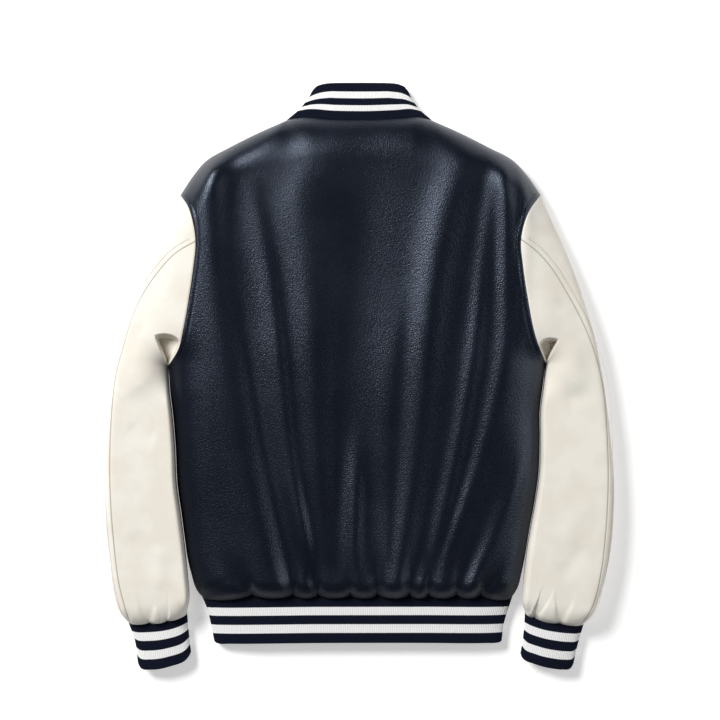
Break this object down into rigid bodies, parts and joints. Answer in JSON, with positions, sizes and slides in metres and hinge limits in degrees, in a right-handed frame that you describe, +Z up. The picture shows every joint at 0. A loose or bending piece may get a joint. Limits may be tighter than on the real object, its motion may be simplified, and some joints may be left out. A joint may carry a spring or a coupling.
{
  "type": "varsity jacket",
  "caption": "Waist-length varsity jacket laid flat, back up: smooth leather body, contrast leather sleeves, striped rib collar, cuffs and hem",
  "frame": {"origin": "middle of the footprint, on the surface that the jacket lies on", "axes": "+Y from the hem to the collar, +X to the wearer's right, +Z up out of the back"},
  "size_m": [0.661, 0.763, 0.0672],
  "materials": {
    "body_leather": "dark navy leather with a fine pebble grain and a soft sheen",
    "sleeve_leather": "cream leather, matt and slightly napped",
    "rib_knit": "navy rib knit with two off-white stripes",
    "snap_cap": "navy enamelled snap caps"
  },
  "bodies": {
    "root": {"back": "body_leather", "front_left": "body_leather", "front_right": "body_leather", "sleeve_top_left": "sleeve_leather", "sleeve_top_right": "sleeve_leather", "sleeve_under_left": "sleeve_leather", "sleeve_under_right": "sleeve_leather", "cuff_left": "rib_knit", "cuff_right": "rib_knit", "hem_rib": "rib_knit", "collar": "rib_knit", "snap_1": "snap_cap", "snap_2": "snap_cap", "snap_3": "snap_cap", "snap_4": "snap_cap", "snap_5": "snap_cap", "snap_6": "snap_cap", "snap_hem": "snap_cap"}
  },
  "joints": []
}
